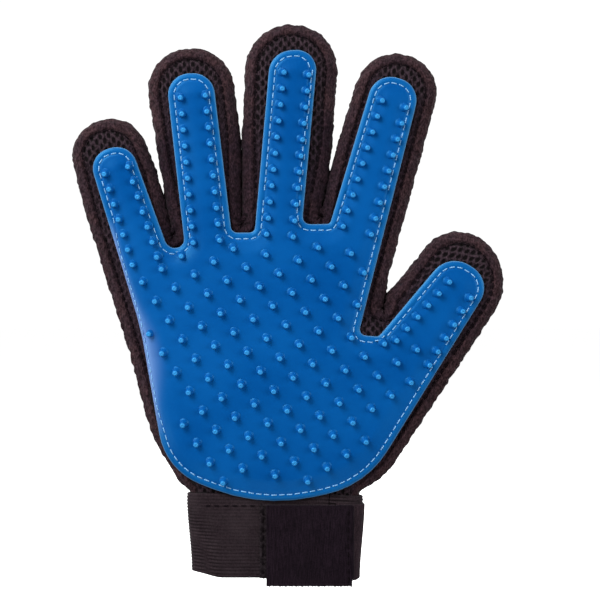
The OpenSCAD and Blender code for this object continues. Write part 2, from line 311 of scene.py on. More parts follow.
def surface_nets(field, low, step):
    """Quads round the region where a 3-D grid of values is below zero."""
    inside = field < 0
    size = np.array(field.shape) - 1

    def corner(values, c):
        return values[tuple(slice(c[k], c[k] + size[k]) for k in range(3))]

    corners = [(i, j, k) for i in (0, 1) for j in (0, 1) for k in (0, 1)]
    count = sum(corner(inside, c).astype(np.int8) for c in corners)
    cells = np.argwhere((count > 0) & (count < 8))
    ids = np.full(size, -1, np.int64)
    ids[tuple(cells.T)] = np.arange(len(cells))
    total, crossings = np.zeros((len(cells), 3)), np.zeros((len(cells), 1))
    for a in corners:
        for k in range(3):
            if a[k]:
                continue
            b = tuple(a[m] + (m == k) for m in range(3))
            fa, fb = (field[tuple((cells + c).T)] for c in (a, b))
            cut = (fa < 0) != (fb < 0)
            t = np.where(cut, fa / np.where(cut, fa - fb, 1), 0)
            place = np.array(a, float) + np.eye(3)[k] * t[:, None]
            total += place * cut[:, None]
            crossings += cut[:, None]
    points = np.array(low) + np.array(step) * (cells + total / crossings)
    quads = []
    for k in range(3):
        m, n = (k + 1) % 3, (k + 2) % 3
        here = tuple(slice(1, -1) if q != k else slice(0, -1) for q in range(3))
        there = tuple(slice(1, -1) if q != k else slice(1, None) for q in range(3))
        change = inside[here].astype(int) - inside[there]
        for sign in (1, -1):
            at = np.argwhere(change == sign)
            at[:, [m, n]] += 1
            around = []
            for steps in ((-1, -1), (0, -1), (0, 0), (-1, 0)):
                back = np.zeros(3, int)
                back[[m, n]] = steps
                around.append(ids[tuple((at + back).T)])
            quads.append(np.stack(around if sign == 1 else around[::-1], 1))
    return points, np.concatenate(quads)


def corner_normals(points, faces):
    """Unit normal at each point, from the faces round it."""
    normal = np.zeros_like(points)
    across = np.cross(points[faces[:, 2]] - points[faces[:, 0]], points[faces[:, -1]] - points[faces[:, 1]])
    for k in range(faces.shape[1]):
        for axis in range(3):
            normal[:, axis] += np.bincount(faces[:, k], across[:, axis], len(points))
    return normal / np.maximum(np.linalg.norm(normal, axis=1, keepdims=True), 1e-9)


def face_centres(points, faces):
    """The (x, z) middle of each face."""
    return points[faces].mean(1)[:, [0, 2]]


def add_object(name, data):
    obj = bpy.data.objects.new(name, data)
    bpy.context.scene.collection.objects.link(obj)
    return obj


def make(name, points, faces, material, normals, values=None):
    """A mesh object from points in millimetres and an array of faces with equally many corners."""
    mesh = bpy.data.meshes.new(name)
    mesh.vertices.add(len(points))
    mesh.vertices.foreach_set("co", (points * MM).astype(np.float32).ravel())
    corners = faces.astype(np.int32).ravel()
    mesh.loops.add(len(corners))
    mesh.loops.foreach_set("vertex_index", corners)
    mesh.polygons.add(len(faces))
    mesh.polygons.foreach_set("loop_start", np.arange(0, len(corners), faces.shape[1], dtype=np.int32))
    mesh.update(calc_edges=True)
    mesh.validate()
    mesh.normals_split_custom_set_from_vertices(normals.astype(np.float32))
    fields = {"rest": points, **(values or {})}
    for key, value in fields.items():
        flat = value.ndim == 1
        attribute = mesh.attributes.new(key, "FLOAT" if flat else "FLOAT_VECTOR", "POINT")
        attribute.data.foreach_set("value" if flat else "vector", value.astype(np.float32).ravel())
    mesh.materials.append(material)
    return add_object(name, mesh)


def attach(obj, part):
    """The palm's pieces ride on it; a finger's pieces only have their placing baked into their points."""
    if part == "hand":
        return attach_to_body(obj, "palm")
    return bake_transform(obj)


def make_parts(kind, points, faces, material, values=None, normals=None, stands_for=(), centres=None):
    """One piece for each part of the glove out of one mesh, smooth across the cuts between them.
    centres are the (x, z) points that say which part each face belongs to."""
    normals = corner_normals(points, faces) if normals is None else normals
    parts = part_at(face_centres(points, faces) if centres is None else centres)
    for number, part in enumerate(PARTS):
        chosen = faces[parts == number]
        used, index = np.unique(chosen, return_inverse=True)
        obj = make(
            f"{part}_{kind}", points[used], index.reshape(chosen.shape), material, normals[used],
            {k: v[used] for k, v in (values or {}).items()},
        )
        attach(obj, part)
        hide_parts(*[f"{part}_{node}" for node in stands_for])


# ---- Materials ----

class Shader:
    """A small builder for one material's nodes."""

    def __init__(self, name, roughness=0.8, specular=0.2, **constants):
        self.material = bpy.data.materials.new(name)
        self.material.use_nodes = True
        self.tree = self.material.node_tree
        self.bsdf = self.tree.nodes["Principled BSDF"]
        self.put(self.bsdf.inputs["Roughness"], roughness)
        self.put(self.bsdf.inputs["Specular IOR Level"], specular)
        for key, value in constants.items():
            self.put(self.bsdf.inputs[key.replace("_", " ")], value)

    def put(self, socket, value):
        if isinstance(value, bpy.types.NodeSocket):
            self.tree.links.new(value, socket)
        elif isinstance(value, tuple) and len(value) == 3 and len(socket.default_value) == 4:
            socket.default_value = (*value, 1)
        else:
            socket.default_value = value

    def add(self, kind, inputs=None, **settings):
        node = self.tree.nodes.new("ShaderNode" + kind)
        for key, value in settings.items():
            setattr(node, key, value)
        for key, value in (inputs or {}).items():
            self.put(node.inputs[key], value)
        return node

    def math(self, operation, *values):
        node = self.add("Math", operation=operation)
        for socket, value in zip(node.inputs, values):
            self.put(socket, value)
        return node.outputs[0]

    def mix(self, factor, a, b, blend="MIX"):
        node = self.add("Mix", data_type="RGBA", blend_type=blend)
        self.put(node.inputs[0], factor)
        self.put(node.inputs[6], a)
        self.put(node.inputs[7], b)
        return node.outputs[2]

    def range(self, value, low, high, to_low=0.0, to_high=1.0):
        node = self.add("MapRange", interpolation_type="SMOOTHSTEP")
        for socket, item in zip(node.inputs, (value, low, high, to_low, to_high)):
            self.put(socket, item)
        return node.outputs[0]

    def attribute(self, name, output="Vector"):
        return self.add("Attribute", attribute_name=name).outputs[output]

    def noise(self, vector, scale, detail=2.0):
        return self.add("TexNoise", {"Vector": vector, "Scale": scale, "Detail": detail}).outputs["Fac"]

    def stretched(self, vector, scale):
        return self.add("VectorMath", {0: vector, 1: scale}, operation="MULTIPLY").outputs[0]

    def finish(self, colour, height=None, distance=0.0002, strength=1.0):
        self.put(self.bsdf.inputs["Base Color"], colour)
        if height is not None:
            bump = self.add("Bump", {"Height": height, "Distance": distance, "Strength": strength})
            self.put(self.bsdf.inputs["Normal"], bump.outputs[0])
        return self.material


def knit_holes(shader, weave):
    """1 inside the mesh's staggered oval holes, 0 on the yarn between them."""
    split = shader.add("SeparateXYZ", {"Vector": weave}).outputs
    nearest = None
    for offset in (0.0, 0.5):
        squares = []
        for axis, pitch, half in ((0, HOLE_PITCH[0], HOLE_HALF[0]), (1, HOLE_PITCH[1], HOLE_HALF[1])):
            cell = shader.math("FRACT", shader.math("MULTIPLY_ADD", split[axis], 1 / pitch, 100 + offset))
            across = shader.math("MULTIPLY", shader.math("SUBTRACT", cell, 0.5), pitch / half)
            squares.append(shader.math("MULTIPLY", across, across))
        reach = shader.math("SQRT", shader.math("ADD", *squares))
        nearest = reach if nearest is None else shader.math("MINIMUM", nearest, reach)
    return shader.range(nearest, 1.35, 0.65)


def mesh_fabric():
    s = Shader("spacer_mesh", roughness=0.92, specular=0.08, Sheen_Weight=0.03, Sheen_Roughness=0.5)
    rest, weave = s.attribute("rest"), s.attribute("weave")
    wander = s.add("TexNoise", {"Vector": rest, "Scale": 0.45, "Detail": 1.0}).outputs["Color"]
    by = {0: wander, 1: (0.9, 0.9, 0), 2: weave}
    shifted = s.add("VectorMath", by, operation="MULTIPLY_ADD").outputs[0]
    # weave's third part darkens the yarn as painted shade in the narrow strips between the rolled rim and the
    # pad, and fades the holes there and on the rolled rim, which hides them
    hidden_and_painted_shade = s.add("SeparateXYZ", {"Vector": weave}).outputs[2]
    roll = s.attribute("roll", "Fac")
    holes = s.math("MULTIPLY", knit_holes(s, shifted), s.range(hidden_and_painted_shade, 0.0, 1.0, 1.0, 0.22))
    grain = s.noise(s.stretched(rest, (1.0, 1.0, 0.6)), 1.5, 3.0)
    blotch = s.noise(rest, 0.16, 2.0)
    yarn = s.mix(s.range(grain, 0.3, 0.72), (0.0125, 0.0074, 0.0102), (0.058, 0.036, 0.047))
    painted_shade_colour = s.mix(hidden_and_painted_shade, yarn, (0.72, 0.68, 0.74), "MULTIPLY")
    rim = s.math("MULTIPLY", roll, s.range(blotch, 0.3, 0.7, 0.35, 1.0))
    warm = s.mix(rim, painted_shade_colour, (1.75, 1.5, 1.22), "MULTIPLY")
    # painted shade darkening the fabric where two fingers press together
    web_shaded_colour = s.mix(s.attribute("painted_web_shade", "Fac"), warm, (0.52, 0.50, 0.62), "MULTIPLY")
    colour = s.mix(holes, web_shaded_colour, (0.0035, 0.0022, 0.0028))
    height = s.math("SUBTRACT", s.math("MULTIPLY", grain, 0.8), holes)
    return s.finish(colour, height, 0.0007, 0.9)


def silicone():
    s = Shader("blue_silicone", specular=0.5, Specular_Tint=(0.12, 0.62, 1.0))
    rest = s.attribute("rest")
    cloud, fine = s.noise(rest, 0.035, 2.0), s.noise(rest, 1.1, 3.0)
    base = s.mix(s.range(cloud, 0.3, 0.7), (0.0002, 0.070, 0.290), (0.0004, 0.086, 0.335))
    speckled = s.mix(s.range(fine, 0.35, 0.75, 0.0, 0.2), base, (0.001, 0.105, 0.38))
    inset = s.attribute("inset", "Fac")
    # painted highlight: the strip between the stitches and the pad's edge is lighter, and the rounded edge
    # itself paler still
    strip = s.mix(s.range(inset, 2.7, 2.1, 0.0, 0.5), speckled, (0.004, 0.120, 0.37))
    edge = s.mix(s.range(inset, 0.6, 0.1, 0.0, 0.8), strip, (0.09, 0.25, 0.46))
    # painted reflection: a broad pale band along the palm's outer side, where the pad turns away
    wear_and_painted_reflection = s.mix(s.attribute("painted_reflection", "Fac"), edge, (0.21, 0.33, 0.66))
    tip = s.attribute("tip", "Fac")
    # painted light on the nubs: the stem a little lighter than the pad, the tip much lighter as a painted
    # glow and highlight
    stem = s.mix(s.range(tip, 0.0, 0.35, 0.0, 0.3), wear_and_painted_reflection, (0.002, 0.130, 0.43))
    lit = s.mix(s.range(tip, 0.72, 1.0, 0.0, 0.9), stem, (0.035, 0.29, 0.68))
    matt = s.range(cloud, 0.2, 0.8, 0.34, 0.46)
    s.put(s.bsdf.inputs["Roughness"], s.math("MULTIPLY", matt, s.range(tip, 0.6, 1.0, 1.0, 0.6)))
    return s.finish(lit, fine, 0.00008, 0.5)


def thread(name, dark, light, gloss=0.25):
    s = Shader(name, roughness=0.6, specular=gloss)
    rest = s.attribute("rest")
    fibre = s.noise(rest, 5.0, 3.0)
    return s.finish(s.mix(s.range(fibre, 0.3, 0.7), dark, light), fibre, 0.00008, 0.6)


# ---- Knitted shell ----

HOLE_PITCH, HOLE_HALF = (3.6, 4.1), (0.72, 1.22)
ROLL = 5.0                           # width of the rolled rim on the palm side
PANEL_Y = box_mm("hand_palm_panel")[0][1]
MID_Y, HALF = (BACK_Y + PANEL_Y) / 2, (BACK_Y - PANEL_Y) / 2
SHELL_FOOT = CUFF_Z - 4              # where the shell ends, inside the cuff

MESH = mesh_fabric()
SILICONE = silicone()
BLUE_THREAD = thread("blue_thread", (0.10, 0.34, 0.66), (0.36, 0.66, 0.96))
BLACK_THREAD = thread("black_thread", (0.003, 0.002, 0.003), (0.011, 0.007, 0.0095), 0.03)

ruffle, lump, mottle = waves(11, 4.5), waves(12, 22.0), waves(13, 2.6)


def palm_swell(x, z):
    """How far the filled palm stands forward of the flat pattern."""
    most, middle_x, middle_z, half_width, half_height = 2.8, -4, 84, 46, 42
    return most * np.exp(-((x - middle_x) / half_width) ** 2 - ((z - middle_z) / half_height) ** 2)


def side_turn(xz):
    """How far the palm's outer side turns back, away from the flat pattern."""
    most, top, inner_x = 1.8, 158, -22
    near_edge = smooth(1 - (PLANE.read(PAD_D, xz) + 2) / 9)
    return most * near_edge * smooth((top - xz[..., 1]) / 30) * smooth((inner_x - xz[..., 0]) / 22)


def into_cuff(z):
    """0 where the shell is tucked into the cuff, 1 well above it."""
    return smooth((z - CUFF_Z + 1.5) / 8)


def shell_field(x, y, z, d):
    """Below zero inside the glove's rounded flat shape."""
    free = into_cuff(z)
    e = y - MID_Y
    back_swell = 1.7 * smooth(d / 16)
    swell = np.where(e > 0, back_swell, palm_swell(x, z) * smooth(d / 14)) * free
    e = e * HALF / ((HALF + swell) * (0.7 + 0.3 * free))
    q = np.maximum(HALF - d + 2.2 * (1 - free), 0)
    return np.sqrt(q * q + e * e) - HALF


def extract(step_y, y_range, z_from, field, coarse=1):
    """Mesh of a field over the plane's grid and a range of depths."""
    first = int(np.searchsorted(PLANE.zs, z_from))
    grid = (slice(None, None, coarse), slice(first, None, coarse))
    d = [values[grid][:, None, :] for values in (GATHERED_D, PAD_D)]
    x, z = PLANE.xs[::coarse][:, None, None], PLANE.zs[first::coarse][None, None, :]
    y = np.arange(*y_range, step_y)[None, :, None]
    low = (PLANE.xs[0], y_range[0], PLANE.zs[first])
    return surface_nets(field(x, y, z, *d), low, (PLANE.step * coarse, step_y, PLANE.step * coarse))


def web_points():
    """The foot of the slit between each pair of neighbouring fingers."""
    found = []
    for a, b in zip(FINGERS, FINGERS[1:]):
        left, right = HINGES[a][0][0] + 6, HINGES[b][0][0] - (6 if b != "thumb" else 12)
        near = SHELL_LINE[(SHELL_LINE[:, 0] > left) & (SHELL_LINE[:, 0] < right) & (SHELL_LINE[:, 1] > 100)]
        found.append(near[np.argmin(near[:, 1])])
    return np.array(found)


def slit_direction(a, b):
    """The unit direction halfway between two fingers."""
    along = HINGES[a][2] + HINGES[b][2]
    return along / np.linalg.norm(along)


WEBS = web_points()
SLITS = [slit_direction(a, b) for a, b in zip(FINGERS, FINGERS[1:])]
GATHERED, GATHER_REACH = 2.5, 1.6    # length and half width of the fabric drawn together at a slit's foot
SHUT_FOR = (13.0, 32.0, 15.0, 1.0)   # how far up from its foot each slit is pressed shut
OPENS_OVER = 12.0                    # and how far on from there it opens
WEB_SHADE_STRENGTH = (1, 1, 1, 0.5)             # how dark the painted shade beside each slit is


def gathered_feet(d):
    """The distance field with the foot of each slit but the thumb's filled."""
    for web, along in zip(WEBS[:3], SLITS):
        t = np.clip((PLANE.points - web) @ along, 0, GATHERED)
        away = np.linalg.norm(PLANE.points - web - t[..., None] * along, axis=-1)
        d = np.maximum(d, GATHER_REACH - away)
    return d


GATHERED_D = gathered_feet(SHELL_D)


def weave_coordinates(xz):
    """The knit's own coordinates: upright on the hand, turning to each finger's lean past its root."""
    weave = xz.copy()
    parts = part_at(xz)
    for number, finger in enumerate(FINGERS, 1):
        at, across, along = HINGES[finger]
        turned = at + np.stack([(xz - at) @ across, (xz - at) @ along], 1)
        share = (smooth((past_hinge(finger, xz) - BEND_START[finger]) / 14) * (parts == number))[:, None]
        weave = weave * (1 - share) + turned * share
    return weave


def hole_depth(weave):
    """The dimple over each hole of the mesh, 0 to 1."""
    depth = np.zeros(len(weave))
    for offset in (0.0, 0.5):
        cell = (weave / HOLE_PITCH + offset) % 1 - 0.5
        away = cell * HOLE_PITCH / (np.array(HOLE_HALF) * 1.25)
        depth = np.maximum(depth, np.exp(-(away ** 2).sum(1)))
    return depth


def web_creases(points, front):
    """Gathers in the fabric round the foot of each slit: how far each point sinks."""
    sink = np.zeros(len(points))
    for k, web in enumerate(WEBS):
        away = points[:, [0, 2]] - web
        r = np.linalg.norm(away, axis=1)
        angle = np.arctan2(away[:, 0], away[:, 1])
        star = 0.5 + 0.5 * np.cos(7 * angle + 1.3 * k + 0.5 * ruffle(points))
        fold = np.exp(-(away[:, 0] / 0.9) ** 2) * smooth((away[:, 1] + 6) / 4) * (away[:, 1] < 1)
        sink += 0.75 * star * np.exp(-(r / 6) ** 2) + 0.8 * fold * np.exp(-(r / 7) ** 2)
    return sink * (0.4 + 0.6 * front)


def web_shade_mask(xz):
    """Painted shade between the fingers: 1 where two fingers press together, fading away from there."""
    near = np.zeros(len(xz))
    for web, along, hard in zip(WEBS, SLITS, WEB_SHADE_STRENGTH):
        t = np.clip((xz - web) @ along, -4, 36)
        r = np.linalg.norm(xz - web - t[:, None] * along, axis=1)
        near = np.maximum(near, np.exp(-(r / 6.5) ** 2) * hard)
    return near


def close_slits(xz, d, inward):
    """How far the sides of two fingers move towards each other, so that their rims touch."""
    overlap, widest = 0.45, 2.5
    wall = xz - inward * d[:, None]
    half = np.max([-PLANE.read(SHELL_D, wall - inward * k) for k in (0.5, 1.0, 1.5, 2.0, 2.6)], axis=0)
    shut = np.zeros(len(xz))
    for web, along, height in zip(WEBS, SLITS, SHUT_FOR):
        away = xz - web
        t = away @ along
        near = smooth(3 - np.abs(away @ (along[1], -along[0])) / 4)
        tight = 1 + 0.4 * smooth(1 - t / 12)
        shut = np.maximum(shut, tight * smooth(1 - (t - height) / OPENS_OVER) * near * (t > -4))
    return (half + overlap) * shut * smooth((widest - half) / 0.2) * smooth(1 - d / ROLL)


def knitted_shell():
    def field(x, y, z, d, _):
        return np.maximum(shell_field(x, y, z, d), SHELL_FOOT - z)

    points, faces = extract(0.5, (-12.0, 12.0), SHELL_FOOT - 2, field)
    normal = corner_normals(points, faces)
    xz = points[:, [0, 2]]
    d = PLANE.read(SHELL_D, xz)
    inward = PLANE.read(SHELL_IN, xz)
    front = smooth((MID_Y - points[:, 1]) / 4)
    weave = weave_coordinates(xz)
    roll = np.maximum(smooth((ROLL + 0.6 - d) / 1.2) * front, smooth((3.2 - d) / 2))
    free = into_cuff(points[:, 2])
    sunk = (0.34 - 0.24 * roll) * hole_depth(weave) + web_creases(points, front)
    sunk = sunk - 0.10 * mottle(points) * (0.6 + roll) - 0.18 * ruffle(points) * roll
    moved = points - normal * (sunk * free)[:, None]
    groove = np.exp(-((d - ROLL) / 0.85) ** 2)
    moved[:, 1] += (1.35 * groove + 0.55 * smooth((d - ROLL) / 1.2)) * front * free
    moved[:, 1] += 0.35 * lump(points) * (1 - front) * smooth(d / 8) * free + side_turn(xz) * front
    moved[:, [0, 2]] -= inward * close_slits(xz, d, inward)[:, None]
    open_width = d - ROLL - PLANE.read(PAD_D, xz)      # of the mesh between the rolled rim and the pad
    # painted shade: 1 in the narrow strips between the rolled rim and the pad, where the material darkens the
    # fabric; on the rolled rim it fades the holes that the roll hides
    hidden_and_painted_shade = np.maximum(roll, smooth((4.6 - open_width) / 2.2) * front)
    values = {"weave": np.column_stack([weave, hidden_and_painted_shade]), "roll": roll, "painted_web_shade": web_shade_mask(xz)}
    normals = corner_normals(moved, faces)
    centre = points[faces].mean(1)
    middle_d = PLANE.read(SHELL_D, centre[:, [0, 2]])
    keep = ~((centre[:, 2] < SHELL_FOOT + 0.4) & (normal[faces].mean(1)[:, 2] < -0.5))
    palm_side = (middle_d > ROLL) & (centre[:, 1] < MID_Y)
    for kind, side, node in (("palm_mesh", palm_side, "palm_panel"), ("back_mesh", ~palm_side, "back_shell")):
        make_parts(kind, moved, faces[keep & side], MESH, values, normals, [node])


# ---- Silicone pad, nubs and stitching ----

NUB_TIP_Y = box_mm("hand_pad")[0][1]
STITCH_IN = 2.6                      # from the pad's edge to its stitches


def pad_rise(x, z, d):
    """How far the pad stands forward at a point d inside its edge: it is pulled in along its stitches."""
    dome = 0.75 * smooth((d - STITCH_IN) / 7) - 0.45 * smooth(1 - d / 2.3)
    pulled = 0.38 * np.exp(-((d - STITCH_IN) / 0.5) ** 2)
    turned = side_turn(np.stack([x, z], -1))
    return palm_swell(x, z) * smooth((d + 8) / 14) + dome - pulled - turned


def outer_edge(xz):
    """1 along the palm's outer side, where the pad wraps round it, 0 elsewhere."""
    x, z = xz[..., 0], xz[..., 1]
    bottom, top, fade = 58, 152, 16
    return smooth((0.2 * (133 - z) - 52 - x) / 4) * smooth((top - z) / fade) * smooth((z - bottom) / fade)


def wrapped(xz, inset):
    """Where the pad's points lie once its outer edge is drawn round the palm's side."""
    most, reach = 1.45, 9
    shift = most * outer_edge(xz) * smooth(inset / STITCH_IN) * smooth((reach - inset) / (reach - STITCH_IN))
    return xz - PLANE.read(PAD_IN, xz) * shift[..., None]


def pad_front(xz):
    return PAD_FRONT_Y - pad_rise(xz[..., 0], xz[..., 1], PLANE.read(PAD_D, xz))


def make_silicone(kind, points, faces, tip, inset, painted_reflection, centres):
    """Silicone pieces, with painted highlights by how near each point is to a nub's tip and to the pad's
    edge, and a painted reflection along the palm's outer side.
    """
    values = {"tip": tip, "inset": inset, "painted_reflection": painted_reflection}
    make_parts(kind, points, faces, SILICONE, values, None, ["pad"], centres)


def pad_sheets():
    half, corner = (PAD_BACK_Y - PAD_FRONT_Y) / 2, 0.6
    middle = (PAD_BACK_Y + PAD_FRONT_Y) / 2

    def field(x, y, z, _, d):
        a, b = corner - d, np.abs(y - middle) - (half - corner)
        a, b = np.broadcast_arrays(a + 0 * x, b + 0 * z)
        return np.hypot(np.maximum(a, 0), np.maximum(b, 0)) + np.minimum(np.maximum(a, b), 0) - corner

    points, faces = extract(0.25, (PAD_FRONT_Y - 1, PAD_BACK_Y + 1), PAD_LINE[:, 1].min() - 2, field)
    xz = points[:, [0, 2]]
    inset = PLANE.read(PAD_D, xz)
    points[:, 1] -= pad_rise(xz[:, 0], xz[:, 1], inset)
    # painted reflection along the palm's outer side, widest near the band's middle
    width = 1.6 + 2.6 * np.exp(-((xz[:, 1] - 94) / 17) ** 2)
    painted_reflection = 0.8 * outer_edge(xz) * np.exp(-(np.maximum(inset - 0.6, 0) / width) ** 2)
    centres = face_centres(points, faces)
    points[:, [0, 2]] = wrapped(xz, inset)
    make_silicone("pad_sheet", points, faces, np.zeros(len(points)), inset, painted_reflection, centres)


def nub_centres():
    """The middle of each nub's tip, from the CAD pads."""
    centres = []
    for part in PARTS:
        points, _ = welded(f"{part}_pad")
        tips = points[np.abs(points[:, 1] - NUB_TIP_Y) < 0.01][:, [0, 2]]
        while len(tips):
            near = np.linalg.norm(tips - tips[0], axis=1) < 3
            ring = tips[near]
            centres.append((ring.max(0) + ring.min(0)) / 2)
            tips = tips[~near]
    return np.array(centres)


# A nub's outline, as radius and height: a flared foot, a tapered stem, and a rounded tip with a dimple
NUB_PROFILE = np.array([
    (2.30, -0.25), (2.02, -0.02), (1.80, 0.12), (1.66, 0.35), (1.56, 0.7), (1.45, 1.1), (1.34, 1.6),
    (1.22, 2.15), (1.10, 2.55), (0.93, 2.82), (0.70, 2.96), (0.48, 2.97), (0.30, 2.90), (0.12, 2.84),
    (0.02, 2.83),
])
# How a nub leans, in x and z: away from the middle of the hand in the palm, and a fixed lean on the fingers
SPLAY_FROM, SPLAY, SPLAY_MOST = np.array([4.0, 132.0]), 0.0046, 0.32
FINGER_LEAN = np.array([0.18, -0.22])
NUB_INSET = 9.0                      # a nub's colour is that of the pad this far from its edge


def nub(centre, around=18):
    """One nub standing on the pad: its points, its faces and how near to the tip each point is."""
    lean = (centre - SPLAY_FROM) * SPLAY * np.where(centre > SPLAY_FROM, (1.0, 0.3), 1.0)
    lean += FINGER_LEAN * smooth((centre[1] - 100) / 45)
    lean *= min(1, SPLAY_MOST / max(np.linalg.norm(lean), 1e-6))
    up = np.array([lean[0], -1, lean[1]])
    up /= np.linalg.norm(up)
    side = np.cross(up, (0, 0, 1.0))
    side /= np.linalg.norm(side)
    other = np.cross(up, side)
    angle = 2 * math.pi * np.arange(around) / around
    ring = np.cos(angle)[:, None] * side + np.sin(angle)[:, None] * other
    foot = np.array([centre[0], pad_front(centre[None])[0] + 0.05, centre[1]])
    points = foot + NUB_PROFILE[:, 0, None, None] * ring + NUB_PROFILE[:, 1, None, None] * up
    tip = np.repeat(np.clip(NUB_PROFILE[:, 1] / NUB_PROFILE[:, 1].max(), 0, 1), around)
    return points.reshape(-1, 3), tube_faces(len(NUB_PROFILE), around), tip


def tube_faces(rows, around):
    """Quads of a grid of rows of points, each row going once round."""
    i, j = np.meshgrid(np.arange(rows - 1), np.arange(around), indexing="ij")
    a, b = i * around + j, i * around + (j + 1) % around
    return np.stack([a, b, b + around, a + around], -1).reshape(-1, 4)


def gathered(shapes):
    """Many small meshes as one: points, faces, and which shape each face came from."""
    counts = np.cumsum([0] + [len(s[0]) for s in shapes])
    points = np.concatenate([s[0] for s in shapes])
    faces = np.concatenate([s[1] + n for s, n in zip(shapes, counts)])
    owner = np.repeat(np.arange(len(shapes)), [len(s[1]) for s in shapes])
    return points, faces, owner


def nubs():
    centres = nub_centres()
    shapes = [nub(c) for c in centres]
    points, faces, owner = gathered(shapes)
    tip = np.concatenate([s[2] for s in shapes])
    inset, painted_reflection = np.full(len(tip), NUB_INSET), np.zeros(len(tip))
    make_silicone("nubs", points, faces, tip, inset, painted_reflection, centres[owner])


def stitch(solid, surface, radius=0.22, rows=13, around=8):
    """A two-ply thread arched over the cloth where a CAD stitch lies, with its ends in the needle holes."""
    flat = solid[:, [0, 2]]
    centre = flat.mean(0)
    along = np.linalg.svd(flat - centre)[2][0]
    side = np.array([-along[1], along[0]])
    half = np.abs((flat - centre) @ along).max() + 0.1
    t = np.linspace(-1, 1, rows)
    line = centre + along * (half * t)[:, None]
    depth = surface(line) - 0.22 * (1 - t ** 4) + 0.45 * t ** 8
    angle = 2 * math.pi * np.arange(around) / around
    thick = radius * (1 + 0.2 * np.cos(2 * angle - 9 * t[:, None])) * np.sqrt(1.02 - t[:, None] ** 8)
    xz = line[:, None] + side * (thick * np.cos(angle))[..., None]
    y = depth[:, None] + thick * np.sin(angle)
    points = np.stack([xz[..., 0], y, xz[..., 1]], -1).reshape(-1, 3)
    return points, tube_faces(rows, around)


def stitches(kind, node, surface, material, slot, **size):
    solids = [s for part in PARTS for s in separate_solids(f"{part}_{node}")]
    points, faces, owner = gathered([stitch(s, surface, **size) for s in solids])
    if surface is pad_front:
        xz = points[:, [0, 2]]
        points[:, [0, 2]] = wrapped(xz, PLANE.read(PAD_D, xz))
    centres = np.array([s[:, [0, 2]].mean(0) for s in solids])
    make_parts(kind, points, faces, material, stands_for=[node], centres=centres[owner])


def groove_floor(xz):
    return PANEL_Y + 1.05 - palm_swell(xz[..., 0], xz[..., 1]) * smooth(ROLL / 14) + side_turn(xz)


# ---- Cuff and closure ----

def elastic_fabric():
    s = Shader("ribbed_elastic", roughness=0.85, specular=0.06, Sheen_Weight=0.03, Sheen_Roughness=0.45)
    rest = s.attribute("rest")
    split = s.add("SeparateXYZ", {"Vector": rest}).outputs
    rib = s.math("SINE", s.math("MULTIPLY", split[2], 2 * math.pi / RIB_PITCH))
    yarn = s.noise(s.stretched(rest, (2.2, 1.0, 0.6)), 1.6, 3.0)
    blotch = s.noise(rest, 0.12, 2.0)
    base = s.mix(s.range(yarn, 0.3, 0.7), (0.012, 0.0078, 0.0098), (0.036, 0.0235, 0.029))
    # painted shade darkening the valleys between the ribs
    painted_shade_colour = s.mix(s.range(rib, -1.0, 0.4, 0.6, 0.0), base, (0.011, 0.007, 0.009))
    wear_and_painted_reflection = s.mix(s.range(blotch, 0.35, 0.75, 0.0, 0.25), painted_shade_colour, (0.05, 0.037, 0.042))
    return s.finish(wear_and_painted_reflection, s.math("ADD", s.math("MULTIPLY", rib, 0.5), yarn), 0.0003, 0.7)


def webbing_fabric(name, dark, light, scale=(4.0, 1.0, 0.35), bump=0.0003):
    """Woven tape whose warp runs along z, from dark and light yarn colours."""
    s = Shader(name, roughness=0.9, specular=0.05, Sheen_Weight=0.03, Sheen_Roughness=0.4)
    rest = s.attribute("rest")
    warp, grain = s.noise(s.stretched(rest, scale), 0.9, 3.0), s.noise(rest, 2.4, 2.0)
    blotch = s.noise(rest, 0.1, 2.0)
    mixed = s.math("ADD", s.math("MULTIPLY", warp, 0.65), s.math("MULTIPLY", grain, 0.35))
    base = s.mix(s.range(mixed, 0.38, 0.62), dark, light)
    wear_and_painted_reflection = s.mix(s.range(blotch, 0.4, 0.75, 0.0, 0.35), base, tuple(0.6 * c for c in dark))
    return s.finish(wear_and_painted_reflection, mixed, bump, 0.8)


RIB_PITCH = 1.45
BAND_JOIN = (22.0, 22.3)             # where the elastic's two ends meet, under the tab
ELASTIC = elastic_fabric()
WEBBING = webbing_fabric("tab_webbing", (0.0042, 0.0024, 0.0042), (0.0155, 0.0088, 0.0145), (6.0, 1.0, 0.22))
FOLDED = webbing_fabric("folded_webbing", (0.014, 0.0085, 0.0115), (0.05, 0.031, 0.039), (6.0, 6.0, 0.3))
TAPE = webbing_fabric("binding_tape", (0.008, 0.006, 0.007), (0.02, 0.015, 0.017))
LOOP = webbing_fabric("loop_tape", (0.007, 0.005, 0.006), (0.026, 0.019, 0.023), (1.0, 1.0, 1.0), 0.0006)
HOOK = webbing_fabric("hook_tape", (0.006, 0.005, 0.007), (0.02, 0.018, 0.021), (1.0, 1.0, 1.0))


def cuff_path(half_width, half_depth, x_from, x_to, step=0.8):
    """Points and outward directions round the cuff's flat tube, from x_from on the palm side by way of the
    little finger's side and the back to x_to on the palm side."""
    reach = half_width - half_depth

    def straight(start, end, side):
        x = np.linspace(start, end, max(2, int(abs(start - end) / step)), endpoint=False)
        return np.column_stack([x, 0 * x + side * half_depth, 0 * x, 0 * x + side])

    def turned(first, cx):
        turn = np.linspace(first, first - 1, int(math.pi * half_depth / step), endpoint=False)
        way = np.column_stack([np.cos(turn * math.pi), np.sin(turn * math.pi)])
        return np.column_stack([cx + half_depth * way[:, 0], half_depth * way[:, 1], way])

    path = np.vstack([
        straight(x_from, -reach, -1), turned(-0.5, -reach), straight(-reach, reach, 1), turned(0.5, reach),
        straight(reach, x_to, -1), [[x_to, -half_depth, 0, -1]],
    ])
    return path[:, :2], path[:, 2:]


